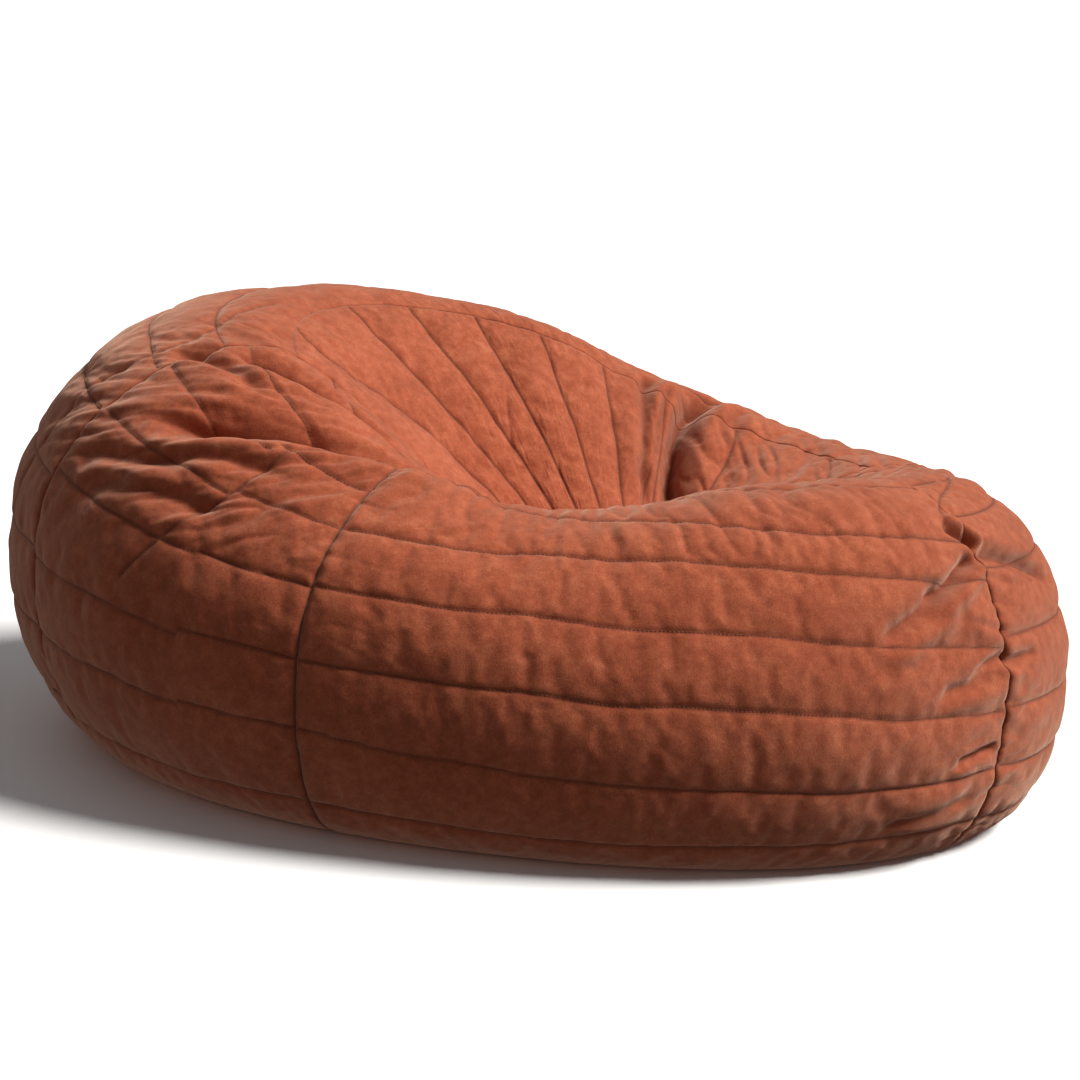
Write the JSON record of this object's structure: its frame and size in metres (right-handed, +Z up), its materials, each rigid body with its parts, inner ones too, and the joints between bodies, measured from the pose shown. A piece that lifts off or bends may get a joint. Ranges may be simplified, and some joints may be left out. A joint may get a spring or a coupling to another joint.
{
  "type": "bean bag chair",
  "caption": "Wide quilted bean bag lounge chair with a slumped seat hollow, raised backrest, rear cover zip and zipped inner liner.",
  "frame": {"origin": "on the floor, under the middle of the bag's box", "axes": "+X to the right of someone facing the seat, which is the bag's longest side; +Y to the back; +Z up"},
  "size_m": [1.4545, 1.1442, 0.6215],
  "materials": {
    "cover_cloth": "short-nap quilted terracotta velour",
    "base_cloth": "plain woven dark canvas",
    "zip_tape": "woven polyester tape",
    "zip_coil": "satin nylon coil",
    "zip_metal": "dark antique enamel",
    "liner_cloth": "smooth undyed polyester",
    "foam": "shredded foam mass"
  },
  "bodies": {
    "bag": {"cover_front_panel": "cover_cloth", "cover_left_arm_panel": "cover_cloth", "cover_right_arm_panel": "cover_cloth", "cover_outer_back_panel": "cover_cloth", "cover_lower_back_panel": "cover_cloth", "cover_backrest_panel": "cover_cloth", "cover_seat_panel": "cover_cloth", "cover_base_panel": "base_cloth", "cover_zip_guard": "zip_tape", "cover_zip_tape_upper": "zip_tape", "cover_zip_tape_lower": "zip_tape", "cover_zip_coil_upper": "zip_coil", "cover_zip_coil_lower": "zip_coil", "cover_zip_stop_left": "zip_metal", "cover_zip_stop_right": "zip_metal", "liner_bag": "liner_cloth", "liner_zip_tape_front": "liner_cloth", "liner_zip_tape_rear": "liner_cloth", "liner_zip_coil_front": "zip_coil", "liner_zip_coil_rear": "zip_coil", "liner_zip_stop_left": "zip_metal", "liner_zip_stop_right": "zip_metal", "foam_fill": "foam"},
    "cover_slider": {"cover_zip_slider": "zip_metal"},
    "cover_pull": {"cover_zip_pull": "zip_metal"},
    "liner_slider": {"liner_zip_slider": "zip_metal"}
  },
  "joints": [
    {"name": "cover_zip_travel", "type": "hinge", "parent": "bag", "child": "cover_slider", "pos_m": [-0.2022, -0.61856, 0.08], "axis": [0, 0, 1], "range_deg": [0, 24.7]},
    {"name": "cover_pull_swing", "type": "hinge", "parent": "cover_slider", "child": "cover_pull", "pos_m": [0.30908, 0.42604, 0.08], "axis": [0, 0, -1], "range_deg": [0, 150]},
    {"name": "liner_zip_travel", "type": "slide", "parent": "bag", "child": "liner_slider", "axis": [1, 0, 0], "range_m": [0, 0.478]}
  ]
}
